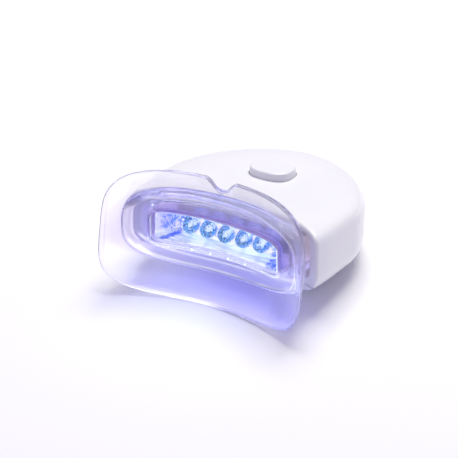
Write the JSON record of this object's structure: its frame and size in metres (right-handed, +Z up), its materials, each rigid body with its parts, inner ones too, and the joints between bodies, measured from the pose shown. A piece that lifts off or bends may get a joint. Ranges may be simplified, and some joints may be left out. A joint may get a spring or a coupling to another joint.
{
  "type": "teeth whitening lamp",
  "caption": "Palm-size white pebble body with a push button, whose windowed lamp trough shines through a clear dished mouthpiece that plugs into its curved front.",
  "frame": {"origin": "centre of the bounding box on the surface that the lamp rests on", "axes": "+Z up, +Y from the mouthpiece to the rear of the body, +X to the right seen from the mouth"},
  "size_m": [0.0668, 0.067, 0.0359],
  "materials": {
    "white_plastic": "high gloss white moulded plastic",
    "inner_plastic": "satin white plastic",
    "clear_silicone": "clear soft plastic, faintly violet at its edges",
    "clear_window": "clear moulded window",
    "chrome_reflector": "mirror plated plastic",
    "blue_lamp": "clear blue epoxy",
    "board_green": "solder mask over glass fibre",
    "black_epoxy": "moulded epoxy",
    "nickel": "nickel plated can",
    "spring_steel": "bright plated steel",
    "wire_red": "soft insulation",
    "wire_black": "soft insulation"
  },
  "bodies": {
    "housing": {"upper_shell": "white_plastic", "lower_shell": "white_plastic", "switch_body": "black_epoxy", "main_board": "board_green", "driver_chip": "black_epoxy", "resistor_1": "black_epoxy", "resistor_2": "black_epoxy", "resistor_3": "black_epoxy", "lamp_nose": "inner_plastic", "window_lens": "clear_window", "reflector": "chrome_reflector", "led_board": "board_green", "led_1": "blue_lamp", "led_2": "blue_lamp", "led_3": "blue_lamp", "led_4": "blue_lamp", "led_5": "blue_lamp", "coin_cell_lower": "nickel", "coin_cell_upper": "nickel", "contact_negative": "spring_steel", "contact_positive": "spring_steel", "case_screw_front_left": "spring_steel", "case_screw_front_right": "spring_steel", "case_screw_rear_left": "spring_steel", "case_screw_rear_right": "spring_steel", "board_screw_left": "spring_steel", "board_screw_right": "spring_steel", "wire_positive": "wire_red", "wire_negative": "wire_black"},
    "mouthpiece": {"mouthpiece": "clear_silicone"},
    "button": {"power_button": "white_plastic"},
    "plunger": {"switch_plunger": "inner_plastic"},
    "door": {"battery_door": "white_plastic"}
  },
  "joints": [
    {"name": "mouthpiece_pull", "type": "slide", "parent": "housing", "child": "mouthpiece", "axis": [0, -0.9867, 0.1623], "range_m": [0, 0.022]},
    {"name": "button_press", "type": "slide", "parent": "housing", "child": "button", "axis": [0, -0.1623, -0.9867], "range_m": [0, 0.0005], "stiffness_N_per_m": 800, "springref_m": -0.0005},
    {"name": "plunger_press", "type": "slide", "parent": "housing", "child": "plunger", "axis": [0, -0.1623, -0.9867], "range_m": [0, 0.0005]},
    {"name": "door_slide", "type": "slide", "parent": "housing", "child": "door", "axis": [0, 0.9867, -0.1623], "range_m": [0, 0.025]}
  ],
  "couplings": [
    {"joint": "plunger_press", "follows": "button_press", "ratio": 1}
  ]
}
